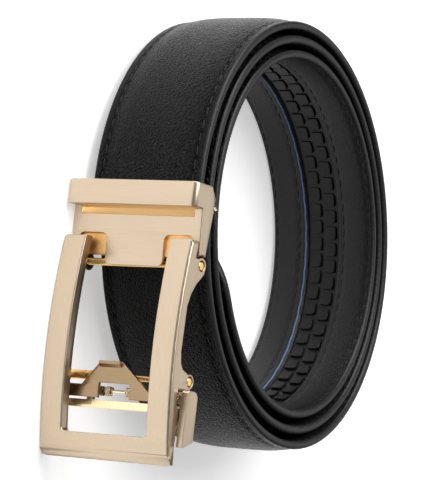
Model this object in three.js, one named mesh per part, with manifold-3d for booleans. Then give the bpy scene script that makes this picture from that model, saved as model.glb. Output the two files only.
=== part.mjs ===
// Ratchet belt, coiled in three turns and lying on its side, with its automatic buckle fastened on.
// Millimetres, +Z up. The coil's axis stands upright, so +Z is also the strap's width.
// Work axes: x runs along the buckle from the strap clamp to the end bar, -y faces out of the belt,
// and the coil's axis is x = 0, y = 0 until the whole belt is moved to its origin at the end.

import * as THREE from 'three';
import { mergeVertices } from 'three/addons/utils/BufferGeometryUtils.js';
import Module from 'manifold-3d';

const wasm = await Module();
wasm.setup();

// Strap
const strapWidth = 35;
const strapEdge = 2.3; // thickness of the stitched borders
const strapCrown = 1.1; // height of the padded middle over the borders
const strapBorder = 3; // width of each flat border
const strapEdgeRound = 0.6;
const squeezedCrown = 0.3; // what the clamp leaves of the crown
const crownRecovery = 16; // length over which the crown grows back outside the clamp
const tipLength = 17;
const tipHalfWidth = 5;

// Coil
const coilRadius = 59.8;
const coilOval = 2.6;
const coilOvalAngle = -20.6; // degrees, where the oval is widest
const coilTurns = 2.968;
const clampAngle = -87; // degrees, where the strap leaves the clamp
const turnGap = 0.75; // mean air between two turns
const turnGapSwing = 0.4; // the turns lie closer on one side
const turnGapAngle = 58; // degrees, where they lie closest
const turnTightening = 0.05;
const clampBulge = 0.9; // how far the turn behind the clamp is pressed in
const clampBulgeSpread = 26; // degrees
const coilSlant = 1.3; // degrees, the coil's edge against the buckle's side
const stepsPerTurn = 40;

// Ratchet track
const trackWidth = 10.1;
const trackDepth = 0.9;
const trackBase = 0.3;
const trackTurns = 0.65;
const trackToTip = 0.288; // turns of plain strap past the track
const toothPitch = 5.15;
const toothWidth = 3.4;
const toothGap = 1.5;
const toothDrop = 0.12; // share of the pitch taken by a tooth's steep side
const toothRoot = 0.08; // least height of a tooth's ramp

// Buckle, shared
const gap = 0.3; // clearance between fitted pieces
const over = 1; // how far a cut runs past a face
const sideWall = 2.5;
const sideClearance = 0.8; // strap edge to side wall
const cornerRound = 1.6;
const pinRadius = 1.2;
const shaftStep = 0.2; // a pin's shaft is that much slimmer than its heads

// Strap clamp with the keeper bar
const barTop = -5.4;
const barHeight = 6.8;
const barThickness = 1.25;
const keeperClearance = 0.8;
const slotFloor = 0.8; // metal between the keeper slot and the strap pocket
const slotFillet = 0.3; // from the bar's lower edge to the slot's ramp
const plateStep = 1.2; // height of the brushed plate over the slot's floor
const plateTaper = 0.7;
const slotRampLength = 2.1;
const clampLength = 19.9;
const tabInset = 4.3; // from an arm's inner edge to the tab
const tabReach = 2.8;
const tabThickness = 1;
const pocketEndWall = 2.5;
const rearBar = 0.95;
const rearStep = 0.6; // the rear is lower past the flap's pin
const rearStepLength = 4.6;
const plateRear = 1.4; // rear of the plate's lower end, behind the hinge axis
const recessDepth = 1.15;
const recessMargin = 1.2; // the polished recess starts that far above the arms

// Clamp flap
const flapPinDrop = 5.8; // from the bar's top to the flap's pin
const flapPinRadius = 0.5;
const flapPinWall = 0.3;
const flapThickness = 0.85;
const flapEndGap = 0.2; // from the flap's end to the end of the strap pocket
const flapBossRadius = 1.3;
const flapToothHeight = 0.15;
const flapToothPlaces = [0.55, 0.75, 0.95]; // shares of the flap's length

// Buckle frame
const hingeReach = 2; // hinge axis past the plate's end
const hingeDepth = 1.2; // hinge axis over the strap's middle surface
const armOverlap = 6.6; // from the arms' upper ends to the hinge axis
const frameLength = 60.4;
const frameBow = 150; // radius of the curved front
const frameBowMiddle = 0.49; // share of the length where the front stands highest
const frameRise = 6.05; // highest point of the front over the clamp's plate
const armWidth = 7.2;
const armDepth = 3.3;
const armTopRound = 1.6;
const windowRound = 1;
const endBarHeight = 6.9;
const endBarDepth = 2.3;
const frameChamfer = 1;
const endChamfer = 2;
const endChamferDepth = 1.2;
const earDepth = 7;
const lugThickness = 2.6;
const lugWall = 1;
const lugRoot = 1.2; // half of the depth of the lug's arm

// Stop pin and spring rod
const stopFromEnd = 22.8; // stop pin to the frame's lower end
const stopDepth = 0.7; // stop pin over the strap's middle surface
const stopRadius = 0.8;
const stopBossRadius = 2;
const sleeveWall = 0.2;
const ringWall = 0.3;
const ringLength = 1.9;
const ringEnd = -9.8; // end of the ring next to the pawl, from the middle of the width
const rodFromStop = 4.1;
const rodDepth = 0.8; // spring rod over the strap's middle surface
const rodRadius = 0.55;
const rodBlindWall = 1.3; // side wall left over each end of the rod's bore
const rodLugWall = 0.35;
const rodLugThickness = 1.4;
const rodLugPlace = 9.4; // rod lugs to the middle of the width

// Bridge behind the pawl
const bridgeFromRod = 2.6;
const bridgeHeight = 2.2;
const bridgeDepth = 2.4;
const bridgeRelief = 0.9;

// Pawl plate, all from the spring rod and the middle of the width
const pawlFront = 3.7; // front of the plate over the strap's middle surface
const pawlThickness = 1.1;
const pawlReach = 8; // rod to the top of the lip
const pawlShoulder = 0.4; // rod to the right shoulder
const pawlLeftRise = 1; // the left shoulder is higher by that
const pawlFoot = 2; // rod to the plate's lower edge
const pawlLip = 1.1;
const pawlLipHeight = 1.8;
const pawlLipSpan = [-6.1, 0.8];
const pawlShoulderSpan = [-11.6, 10];
const pawlHoleSpan = [-6, 4];
const pawlHoleTop = 2.1; // rod to the top of the hole
const pawlSideGap = 0.7;
const pawlLugThickness = 1.2;
const pawlLugWall = 0.5;

// Springs
const springWire = 0.2; // radius
const springCoils = 3.5;
const springGap = 0.1; // air between two coils
const springPlaces = [-4.2, 2.2];

// Release lever
const leverAboveRod = 1.6;
const leverLength = 15.2;
const leverDepth = 5.2;
const leverThickness = 2;
const leverRound = 2;
const leverFront = 4.6; // front edge of the lever over the strap's middle surface
const leverBevel = 0.6;
const leverSlope = 1.8;
const tongueHeight = 3.2;
const tongueDepth = 2.4;
const leverNotchLength = 5.1;

// Sizes worked out from the driving dimensions
const strapThickness = strapEdge + strapCrown;
const turnPitch = strapThickness + turnGap;
const trackEnd = coilTurns - trackToTip;
const trackStart = trackEnd - trackTurns;
const innerHalf = strapWidth / 2 + sideClearance;
const buckleHalf = innerHalf + sideWall;
const armInner = buckleHalf - armWidth;
const overhang = buckleHalf - strapWidth / 2;

// Places along the buckle
const barEnd = barTop + barHeight;
const clampEnd = barTop + clampLength;
const pocketEnd = clampEnd - pocketEndWall;
const flapPinX = barTop + flapPinDrop;
const flapEnd = pocketEnd - flapEndGap;
const hingeX = clampEnd + hingeReach;
const frameTop = hingeX - armOverlap;
const frameEnd = frameTop + frameLength;
const frameMiddle = frameTop + frameLength * frameBowMiddle;
const stopX = frameEnd - stopFromEnd;
const rodX = stopX + rodFromStop;
const bridgeTop = rodX + bridgeFromRod;

// Helpers

function solid(geometry) {
  const plain = geometry.clone();
  plain.deleteAttribute('normal');
  plain.deleteAttribute('uv');
  const merged = mergeVertices(plain, 1e-4);
  return new wasm.Manifold(new wasm.Mesh({
    numProp: 3,
    vertProperties: new Float32Array(merged.attributes.position.array),
    triVerts: new Uint32Array(merged.index.array),
  }));
}

function geometryOf(manifold) {
  const mesh = manifold.getMesh();
  const geometry = new THREE.BufferGeometry();
  geometry.setAttribute('position', new THREE.BufferAttribute(mesh.vertProperties, 3));
  geometry.setIndex(new THREE.BufferAttribute(mesh.triVerts, 1));
  return geometry;
}

function shapeOf(points) {
  return new THREE.Shape(points.map(([a, b]) => new THREE.Vector2(a, b)));
}

function roundedRectangle([a0, b0], [a1, b1], radius) {
  const r = Math.min(radius, (a1 - a0) / 2.01, (b1 - b0) / 2.01);
  const shape = new THREE.Shape();
  shape.absarc(a1 - r, b0 + r, r, -Math.PI / 2, 0);
  shape.absarc(a1 - r, b1 - r, r, 0, Math.PI / 2);
  shape.absarc(a0 + r, b1 - r, r, Math.PI / 2, Math.PI);
  shape.absarc(a0 + r, b0 + r, r, Math.PI, 1.5 * Math.PI);
  return shape;
}

function extruded(shape, depth, curveSegments = 8) {
  return new THREE.ExtrudeGeometry(shape, { depth, bevelEnabled: false, curveSegments });
}

// An outline in x and y, extruded across the width from z0 to z1
function acrossWidth(shape, z0, z1) {
  return solid(extruded(shape, z1 - z0).translate(0, 0, z0));
}

// An outline in x and z, extruded through the depth from y0 to y1
function throughDepth(shape, y0, y1) {
  return solid(extruded(shape, y1 - y0).rotateX(Math.PI / 2).translate(0, y1, 0));
}

// An outline in y and z, extruded along the buckle from x0 to x1
function alongBuckle(shape, x0, x1) {
  const turn = new THREE.Matrix4().makeBasis(
    new THREE.Vector3(0, 1, 0),
    new THREE.Vector3(0, 0, 1),
    new THREE.Vector3(1, 0, 0),
  );
  return solid(extruded(shape, x1 - x0).applyMatrix4(turn).translate(x0, 0, 0));
}

function block([x0, y0, z0], [x1, y1, z1]) {
  const geometry = new THREE.BoxGeometry(x1 - x0, y1 - y0, z1 - z0);
  return solid(geometry.translate((x0 + x1) / 2, (y0 + y1) / 2, (z0 + z1) / 2));
}

function disc(x, y, radius, z0, z1, segments = 28) {
  const geometry = new THREE.CylinderGeometry(radius, radius, z1 - z0, segments);
  return solid(geometry.rotateX(Math.PI / 2).translate(x, y, (z0 + z1) / 2));
}

function tube(x, y, outer, inner, z0, z1) {
  return disc(x, y, outer, z0, z1).subtract(disc(x, y, inner, z0 - over, z1 + over));
}

// The same piece on both sides: make takes the two heights from the middle, low one first
function bothSides(make, near, far) {
  return make(near, far).add(make(-far, -near));
}

// Six times the volume that the faces enclose, below zero when they point inwards
function signedVolume(points, index) {
  let volume = 0;
  for (let i = 0; i < index.length; i += 3) {
    const [a, b, c] = index.slice(i, i + 3).map((corner) => points[corner]);
    volume += a.dot(new THREE.Vector3().crossVectors(b, c));
  }
  return volume;
}

// A skin through equal sections, closed at both ends by the same cap triangles
function loft(sections, capFaces) {
  const count = sections[0].length;
  const points = sections.flat();
  const index = [];
  for (let i = 0; i < sections.length - 1; i += 1) {
    for (let j = 0; j < count; j += 1) {
      const a = i * count + j;
      const b = i * count + (j + 1) % count;
      index.push(a, b, b + count, a, b + count, a + count);
    }
  }
  const last = (sections.length - 1) * count;
  for (const [a, b, c] of capFaces) {
    index.push(a, c, b, last + a, last + b, last + c);
  }
  if (signedVolume(points, index) < 0) {
    index.reverse();
  }
  const geometry = new THREE.BufferGeometry();
  geometry.setAttribute('position', new THREE.Float32BufferAttribute(points.flatMap((p) => p.toArray()), 3));
  geometry.setIndex(index);
  return solid(geometry);
}

function capOf(profile) {
  const points = profile.map(([a, b]) => new THREE.Vector2(a, b));
  return THREE.ShapeUtils.triangulateShape(points, []);
}

// Coil: a spiral of slowly shrinking ovals, counted in turns from the clamp

function coilAngle(turn) {
  return THREE.MathUtils.degToRad(clampAngle + 360 * turn);
}

function coilRadiusAt(turn) {
  const angle = coilAngle(turn);
  const oval = coilOval * Math.cos(2 * (angle - THREE.MathUtils.degToRad(coilOvalAngle)));
  const closeness = Math.cos(angle - THREE.MathUtils.degToRad(turnGapAngle));
  const pitch = turnPitch - turnGapSwing * closeness;
  const behindClamp = (turn - 1) * 360 / clampBulgeSpread;
  const bulge = clampBulge * Math.exp(-behindClamp * behindClamp);
  return coilRadius + oval - pitch * turn - turnTightening * turn * turn - bulge;
}

function coilPoint(turn) {
  const angle = coilAngle(turn);
  const radius = coilRadiusAt(turn);
  return new THREE.Vector2(-radius * Math.cos(angle), radius * Math.sin(angle));
}

function coilStation(turn) {
  const step = 1e-4;
  const tangent = coilPoint(turn + step).sub(coilPoint(turn - step)).normalize();
  return { point: coilPoint(turn), outward: new THREE.Vector2(-tangent.y, tangent.x) };
}

function coilStations(fromTurn, toTurn, steps) {
  return Array.from({ length: steps + 1 }, (_, i) => coilStation(fromTurn + (toTurn - fromTurn) * i / steps));
}

function arcLength(fromTurn, toTurn) {
  const points = coilStations(fromTurn, toTurn, 60).map((station) => station.point);
  return points.slice(1).reduce((sum, point, i) => sum + point.distanceTo(points[i]), 0);
}

// The strap is straight inside the clamp, along the buckle
function clampStation(x) {
  return { point: new THREE.Vector2(x, strapY), outward: new THREE.Vector2(0, -1) };
}

const strapX = coilPoint(0).x;
const strapY = coilPoint(0).y;

// The lower edge of the strap touches the ground at one place on the far side and rises to the clamp
const slant = Math.tan(THREE.MathUtils.degToRad(coilSlant));
const fall = Math.min(...coilStations(0.2, 0.8, 60).map(({ point }) => (
  (overhang + slant * (point.x - strapX)) / (point.y - strapY)
)));

function lift(point) {
  return overhang + slant * (point.x - strapX) - fall * (point.y - strapY);
}

// Levels through the buckle, from front to rear
const pocketFront = strapY - strapEdge / 2 - squeezedCrown - gap;
const pocketRear = strapY + strapEdge / 2 + gap;
const slotRear = pocketFront - slotFloor;
const barInner = slotRear - strapThickness - keeperClearance;
const barFront = barInner - barThickness;
const plateFront = slotRear - plateStep;
const clampRear = pocketRear + rearBar;
const flapPinY = clampRear - 0.1;
const hingeY = strapY - hingeDepth;
const stopY = strapY - stopDepth;
const rodY = strapY - rodDepth;
const pawlY = strapY - pawlFront;

// Strap

function strapProfile(halfWidth, crown) {
  const half = strapEdge / 2;
  const round = strapEdgeRound;
  const padded = halfWidth - Math.min(strapBorder, halfWidth * 0.4);
  const crownShares = [-1, -0.82, -0.55, -0.2, 0.2, 0.55, 0.82, 1];
  return [
    [-half, -halfWidth + round],
    [-half + round, -halfWidth],
    [half - round, -halfWidth],
    [half, -halfWidth + round],
    ...crownShares.map((share) => [half + crown * (1 - share ** 4), padded * share]),
    [half, halfWidth - round],
    [half - round, halfWidth],
    [-half + round, halfWidth],
    [-half, halfWidth - round],
  ];
}

function placeProfile(profile, station) {
  const middle = strapWidth / 2 + lift(station.point);
  return profile.map(([out, across]) => new THREE.Vector3(
    station.point.x + station.outward.x * out,
    station.point.y + station.outward.y * out,
    middle + across,
  ));
}

// How far the rounded tip has widened at a distance from its end, as a quarter of an ellipse
function tipShare(distanceToTip) {
  const inset = Math.min(distanceToTip / tipLength, 1);
  return Math.sqrt(1 - (1 - inset) ** 2);
}

function clampedSections() {
  const profile = strapProfile(strapWidth / 2, squeezedCrown);
  const end = pocketEnd - gap;
  return [end, (end + strapX) / 2, strapX].map((x) => placeProfile(profile, clampStation(x)));
}

function freeSections(toTurn) {
  const turnLength = arcLength(0, 1);
  const mouth = strapX - barTop;
  const steps = Math.round(stepsPerTurn * toTurn);
  const regular = Array.from({ length: steps }, (_, i) => toTurn * (i + 1) / steps);
  return [mouth / turnLength, ...regular].map((turn) => {
    const free = (turn * turnLength - mouth) / crownRecovery;
    const crown = squeezedCrown + (strapCrown - squeezedCrown) * THREE.MathUtils.smoothstep(free, 0, 1);
    return placeProfile(strapProfile(strapWidth / 2, crown), coilStation(turn));
  });
}

function tipSections(turnLength) {
  const steps = 10;
  return Array.from({ length: steps }, (_, i) => {
    const toTip = tipLength * (1 - Math.sin(Math.PI / 2 * (i + 1) / steps));
    const half = tipHalfWidth + (strapWidth / 2 - tipHalfWidth) * tipShare(toTip);
    const profile = strapProfile(half, strapCrown * half / (strapWidth / 2));
    return placeProfile(profile, coilStation(coilTurns - toTip / turnLength));
  });
}

function makeStrap() {
  const lastTenth = 0.1;
  const turnLength = arcLength(coilTurns - lastTenth, coilTurns) / lastTenth;
  const sections = [
    ...clampedSections(),
    ...freeSections(coilTurns - tipLength / turnLength),
    ...tipSections(turnLength),
  ];
  return loft(sections, capOf(strapProfile(strapWidth / 2, strapCrown))).subtract(trackRecess());
}

// Ratchet track

function trackRecess() {
  const inner = -strapEdge / 2;
  const half = trackWidth / 2 + gap;
  const profile = [
    [inner - over, -half],
    [inner + trackDepth, -half],
    [inner + trackDepth, half],
    [inner - over, half],
  ];
  const margin = gap / arcLength(trackStart, trackStart + 1);
  const stations = coilStations(trackStart - margin, trackEnd + margin, Math.round(stepsPerTurn * trackTurns));
  return loft(stations.map((station) => placeProfile(profile, station)), capOf(profile));
}

function trackProfile(toothHeight) {
  const floor = -strapEdge / 2 + trackDepth - gap;
  const face = floor - trackBase;
  const tip = face - toothHeight;
  const outer = toothGap / 2 + toothWidth;
  const half = trackWidth / 2;
  return [
    [floor, -half],
    [floor, half],
    [face, half],
    [face, outer],
    [tip, outer],
    [tip, toothGap / 2],
    [face, toothGap / 2],
    [face, -toothGap / 2],
    [tip, -toothGap / 2],
    [tip, -outer],
    [face, -outer],
    [face, -half],
  ];
}

function makeTrack() {
  const teeth = Math.floor(arcLength(trackStart, trackEnd) / toothPitch);
  const toothTop = trackDepth - gap - trackBase;
  const perTooth = trackTurns / teeth;
  const sections = [];
  for (let i = 0; i < teeth; i += 1) {
    const turn = trackStart + i * perTooth;
    sections.push(placeProfile(trackProfile(toothRoot), coilStation(turn)));
    sections.push(placeProfile(trackProfile(toothTop), coilStation(turn + perTooth * (1 - toothDrop))));
  }
  sections.push(placeProfile(trackProfile(toothRoot), coilStation(trackEnd)));
  return loft(sections, capOf(trackProfile(toothTop)));
}

// Clamp body: keeper bar, front plate, side walls, strap pocket and hinge lugs in one casting

function plateFrontAt(x) {
  return plateFront + plateTaper * (x - barEnd) / (clampEnd - barEnd);
}

function clampOutline() {
  return shapeOf([
    [barTop, barFront],
    [barEnd, barFront],
    [barEnd, plateFront],
    [clampEnd, plateFrontAt(clampEnd)],
    [clampEnd, hingeY + plateRear],
    [flapPinX + flapBossRadius + rearStep * 1.5, clampRear - rearStep],
    [flapPinX + flapBossRadius + rearStep * 1.5 - rearStepLength, clampRear],
    [barTop, strapY],
  ]);
}

function clampSection() {
  const rear = clampRear + over + cornerRound;
  return roundedRectangle([barFront, -buckleHalf], [rear, buckleHalf], cornerRound);
}

function keeperSlot() {
  const end = barEnd + slotFillet;
  const mouth = block([barTop - over, barInner, -innerHalf], [end, slotRear, innerHalf]);
  const rampEnd = end + slotRampLength * (plateStep + over) / plateStep;
  const ramp = shapeOf([
    [barEnd - 0.1, plateFront - over],
    [rampEnd, plateFront - over],
    [end, slotRear],
    [barEnd - 0.1, slotRear],
  ]);
  return mouth.add(acrossWidth(ramp, -innerHalf, innerHalf));
}

function strapPocket() {
  const pocket = block([barTop - over, pocketFront, -innerHalf], [pocketEnd, pocketRear, innerHalf]);
  const flapSpace = block(
    [flapPinX - flapBossRadius, pocketRear - 0.1, -innerHalf],
    [flapEnd + 2 * gap, clampRear + over, innerHalf],
  );
  return pocket.add(flapSpace);
}

function armRecess(z0, z1) {
  const outline = roundedRectangle([frameTop - recessMargin, z0], [clampEnd + cornerRound, z1], cornerRound);
  return throughDepth(outline, barFront, plateFront + recessDepth + plateTaper / 2);
}

function clampTab() {
  const half = armInner - tabInset;
  const shape = roundedRectangle([pocketEnd - over, -half], [clampEnd + tabReach, half], cornerRound);
  const front = plateFrontAt(clampEnd);
  return throughDepth(shape, front, front + tabThickness);
}

function hingeLug(z0, z1) {
  const radius = pinRadius + gap + lugWall;
  const arm = block([clampEnd - over, hingeY - radius + 0.4, z0], [hingeX, hingeY + lugRoot, z1]);
  return disc(hingeX, hingeY, radius, z0, z1).add(arm);
}

function makeClampBody() {
  const lugOuter = innerHalf - gap;
  const flapBoss = (z0, z1) => disc(flapPinX, flapPinY, flapBossRadius, z0, z1);
  const earSpace = (z0, z1) => disc(hingeX, hingeY, pinRadius + lugWall + 2 * gap, z0, z1);
  return acrossWidth(clampOutline(), -buckleHalf, buckleHalf)
    .intersect(alongBuckle(clampSection(), barTop - over, clampEnd + over))
    .add(bothSides(flapBoss, innerHalf, buckleHalf))
    .subtract(keeperSlot())
    .subtract(strapPocket())
    .subtract(bothSides(armRecess, armInner - tabInset, innerHalf))
    .subtract(bothSides(earSpace, lugOuter, buckleHalf + over))
    .add(clampTab())
    .add(bothSides(hingeLug, lugOuter - lugThickness, lugOuter))
    .subtract(disc(hingeX, hingeY, pinRadius + gap, -buckleHalf, buckleHalf))
    .subtract(disc(flapPinX, flapPinY, flapPinRadius + gap / 2, -buckleHalf - over, buckleHalf + over));
}

// Clamp flap: a toothed plate that holds the strap's fixed end

function flapTooth(share, front) {
  const x = flapPinX + (flapEnd - flapPinX) * share;
  return shapeOf([
    [x - 0.5, front + 0.1],
    [x, front - flapToothHeight],
    [x + 0.2, front + 0.1],
  ]);
}

function makeFlap() {
  const half = innerHalf - gap;
  const bore = flapPinRadius + gap / 2;
  const front = pocketRear + 0.1;
  const plate = block([flapPinX, front, -half], [flapEnd, front + flapThickness, half]);
  const knuckle = disc(flapPinX, flapPinY, bore + flapPinWall, -half, half);
  const teeth = flapToothPlaces.map((share) => acrossWidth(flapTooth(share, front), -half + over, half - over));
  return teeth.reduce((flap, tooth) => flap.add(tooth), plate.add(knuckle))
    .subtract(disc(flapPinX, flapPinY, bore, -half - over, half + over));
}

// Buckle frame: curved front, two arms, end bar, side walls with ears, bridge

function frontAt(x) {
  return plateFront - frameRise + (x - frameMiddle) ** 2 / (2 * frameBow);
}

function frontArc(fromX, toX, offset, steps = 22) {
  return Array.from({ length: steps + 1 }, (_, i) => {
    const x = fromX + (toX - fromX) * i / steps;
    return [x, frontAt(x) + offset];
  });
}

// Rear edge of a side wall from its lower end up: place as a share of a stretch, depth as a share of the ear's
const lowerEar = [
  { along: 0.99, depth: 0 },
  { along: 0.6, depth: 0 },
  { along: 0.53, depth: 0.16 },
  { along: 0.47, depth: 0.45 },
  { along: 0.39, depth: 0.7 },
  { along: 0.295, depth: 0.82 },
  { along: 0.15, depth: 0.86 },
  { along: -0.005, depth: 0.86 },
  { along: -0.06, depth: 0.75 },
  { along: -0.092, depth: 0.55 },
  { along: -0.125, depth: 0.24 },
  { along: -0.19, depth: 0.08 },
  { along: -0.325, depth: 0 },
];
const upperEar = [
  { along: 0.37, depth: 0 },
  { along: 0.26, depth: 0.13 },
  { along: 0.165, depth: 0.38 },
  { along: 0.1, depth: 0.66 },
  { along: 0.06, depth: 0.8 },
  { along: -0.02, depth: 0.8 },
  { along: -0.055, depth: 0.5 },
  { along: -0.055, depth: 0 },
];

function sideWallOutline() {
  const toEnd = frameEnd - stopX;
  const toStop = stopX - hingeX;
  const places = [
    ...lowerEar.map(({ along, depth }) => ({ x: stopX + toEnd * along, depth })),
    ...upperEar.map(({ along, depth }) => ({ x: hingeX + toStop * along, depth })),
  ];
  const rear = places.map(({ x, depth }) => {
    const wall = x > frameEnd - endBarHeight - over ? endBarDepth : armDepth;
    return [x, frontAt(x) + wall + earDepth * depth];
  });
  return shapeOf([...frontArc(places[places.length - 1].x, places[0].x, 1), ...rear]);
}

function sideWallOf(z0, z1) {
  return acrossWidth(sideWallOutline(), z0, z1)
    .add(disc(stopX, stopY, stopBossRadius, z0, z1))
    .add(disc(hingeX, hingeY, pinRadius + lugWall, z0, z1));
}

// A stretch of the curved front down to the frame's end, on the same points as the arms
function arcBand(fromX, depth) {
  const points = frontArc(frameTop, frameEnd, 0).filter(([x]) => x >= fromX);
  return shapeOf([...points, ...points.map(([x, y]) => [x, y + depth]).reverse()]);
}

function frontShell() {
  const endBarTop = frameEnd - endBarHeight;
  const arms = shapeOf([...frontArc(frameTop, frameEnd, 0), ...frontArc(frameTop, endBarTop, armDepth).reverse()]);
  const plan = roundedRectangle([frameTop, -buckleHalf], [frameEnd, buckleHalf], armTopRound);
  const window = roundedRectangle([frameTop - 2 * armTopRound, -armInner], [endBarTop, armInner], windowRound);
  const front = plateFront - frameRise - over;
  return acrossWidth(arms, -buckleHalf, buckleHalf)
    .add(acrossWidth(arcBand(endBarTop - 3 * over, endBarDepth), -buckleHalf, buckleHalf))
    .intersect(throughDepth(plan, front, strapY))
    .subtract(throughDepth(window, front, strapY));
}

// A sloping cut along the curved outer edge of the arm on one side, which is 1 or -1
function armChamfer(side) {
  const reach = frameChamfer + over / 2;
  const outer = side * (buckleHalf + over / 2);
  const inner = side * (buckleHalf + over / 2 - reach);
  const sections = frontArc(frameTop - over, frameEnd + over, 0).map(([x, y]) => [
    new THREE.Vector3(x, y - over / 2, inner),
    new THREE.Vector3(x, y - over / 2, outer),
    new THREE.Vector3(x, y - over / 2 + reach, outer),
  ]);
  return loft(sections, [[0, 1, 2]]);
}

function endBarChamfer() {
  const y = frontAt(frameEnd);
  const start = y - endChamferDepth;
  return acrossWidth(shapeOf([
    [frameEnd - endChamfer - over, start],
    [frameEnd + over, start],
    [frameEnd + over, y + endBarDepth],
    [frameEnd - 0.1, y + endBarDepth - endChamferDepth / 2],
  ]), -buckleHalf - over, buckleHalf + over);
}

function bridgeBar() {
  const front = pawlY + gap;
  const bar = block(
    [bridgeTop, front, -innerHalf - over / 2],
    [bridgeTop + bridgeHeight, front + bridgeDepth, innerHalf + over / 2],
  );
  const relief = block(
    [bridgeTop - over, front - over, -innerHalf],
    [bridgeTop + bridgeHeight - bridgeRelief, front + bridgeRelief, pawlHoleSpan[0] - 2],
  );
  return bar.subtract(relief);
}

function rodLug(z0, z1) {
  const radius = rodRadius + gap + rodLugWall;
  return block([rodX, rodY - 0.9, z0], [bridgeTop + 0.2, rodY + radius, z1]).add(disc(rodX, rodY, radius, z0, z1));
}

function leverNotch() {
  const top = rodX - leverAboveRod - 0.2;
  return block(
    [top, frontAt(top) + armDepth + gap, innerHalf - over],
    [top + leverNotchLength, rodY + earDepth, buckleHalf + over],
  );
}

function makeFrame() {
  return frontShell()
    .add(bothSides(sideWallOf, innerHalf, buckleHalf))
    .subtract(armChamfer(1))
    .subtract(armChamfer(-1))
    .subtract(endBarChamfer())
    .subtract(leverNotch())
    .add(bridgeBar())
    .add(bothSides(rodLug, rodLugPlace, rodLugPlace + rodLugThickness))
    .subtract(disc(hingeX, hingeY, pinRadius + gap, -buckleHalf - over, buckleHalf + over))
    .subtract(disc(stopX, stopY, pinRadius + gap, -buckleHalf - over, buckleHalf + over))
    .subtract(disc(rodX, rodY, rodRadius + gap, -buckleHalf + over, buckleHalf + over));
}

// Pins, sleeve and ring

function headedPin(x, y, shaftRadius) {
  const end = buckleHalf - 0.05;
  const head = end - sideWall;
  const profile = [
    [0, -end],
    [pinRadius, -end],
    [pinRadius, -head],
    [shaftRadius, -head],
    [shaftRadius, head],
    [pinRadius, head],
    [pinRadius, end],
    [0, end],
  ];
  const geometry = new THREE.LatheGeometry(profile.map(([r, z]) => new THREE.Vector2(r, z)), 28);
  return solid(geometry.rotateX(Math.PI / 2).translate(x, y, 0));
}

function makeSleeve() {
  const bore = stopRadius + gap;
  return tube(stopX, stopY, bore + sleeveWall, bore, -innerHalf + gap, ringEnd - ringLength - gap);
}

function makeRing() {
  const bore = stopRadius + gap;
  return tube(stopX, stopY, bore + ringWall, bore, ringEnd - ringLength, ringEnd);
}

function makeRod() {
  return disc(rodX, rodY, rodRadius, -buckleHalf + rodBlindWall, buckleHalf - rodBlindWall / 2, 20);
}

// Pawl plate and release lever, which turn on the spring rod

// Edge of the pawl plate, seen from the front: x along the buckle and place across it
function pawlOutline() {
  const side = innerHalf - pawlSideGap;
  const lipTop = rodX - pawlReach;
  const shoulder = rodX - pawlShoulder;
  const leftShoulder = shoulder - pawlLeftRise;
  const foot = rodX + pawlFoot;
  const holeTop = rodX - pawlHoleTop;
  return shapeOf([
    [lipTop, pawlLipSpan[0]],
    [lipTop, pawlLipSpan[1]],
    [shoulder, pawlShoulderSpan[1]],
    [shoulder, side],
    [foot, side],
    [foot, pawlHoleSpan[1]],
    [holeTop, pawlHoleSpan[1]],
    [holeTop, pawlHoleSpan[0]],
    [foot, pawlHoleSpan[0]],
    [foot, -side],
    [leftShoulder, -side],
    [leftShoulder, pawlShoulderSpan[0]],
  ]);
}

function pawlLipShape() {
  const top = rodX - pawlReach;
  return shapeOf([
    [top, pawlY - pawlLip],
    [top + pawlLipHeight * 0.45, pawlY - pawlLip],
    [top + pawlLipHeight, pawlY + 0.1],
    [top, pawlY + 0.1],
  ]);
}

function pawlLug(z0) {
  const radius = rodRadius + gap + pawlLugWall;
  const z1 = z0 + pawlLugThickness;
  const web = block([rodX - pawlLugThickness, pawlY + 0.5, z0], [rodX + pawlLugThickness, rodY, z1]);
  return disc(rodX, rodY, radius, z0, z1).add(web);
}

function makePawlPlate() {
  return throughDepth(pawlOutline(), pawlY, pawlY + pawlThickness)
    .add(acrossWidth(pawlLipShape(), pawlLipSpan[0], pawlLipSpan[1]))
    .add(pawlLug(pawlHoleSpan[0] - pawlLugThickness))
    .add(pawlLug(pawlHoleSpan[1]))
    .subtract(disc(rodX, rodY, rodRadius + gap, -innerHalf, innerHalf));
}

function leverShape() {
  const top = rodX - leverAboveRod;
  const bottom = top + leverLength;
  const front = strapY - leverFront;
  const r = leverRound;
  const shape = new THREE.Shape();
  shape.moveTo(top + leverBevel, front);
  shape.lineTo(bottom, front);
  shape.lineTo(bottom, front + leverBevel);
  shape.lineTo(bottom - leverSlope, front + leverDepth);
  shape.absarc(top + r, front + leverDepth - r, r, Math.PI / 2, Math.PI);
  shape.lineTo(top, front + leverBevel);
  return shape;
}

function makeLever() {
  const inner = buckleHalf + gap;
  const tongueTop = rodX - leverAboveRod + gap;
  const tongue = block(
    [tongueTop, rodY - tongueDepth / 2, innerHalf + 0.2],
    [tongueTop + tongueHeight, rodY + tongueDepth / 2, inner + leverThickness / 2],
  );
  return acrossWidth(leverShape(), inner, inner + leverThickness)
    .add(tongue)
    .subtract(disc(rodX, rodY, rodRadius + gap, innerHalf - over, buckleHalf - 0.1));
}

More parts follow.
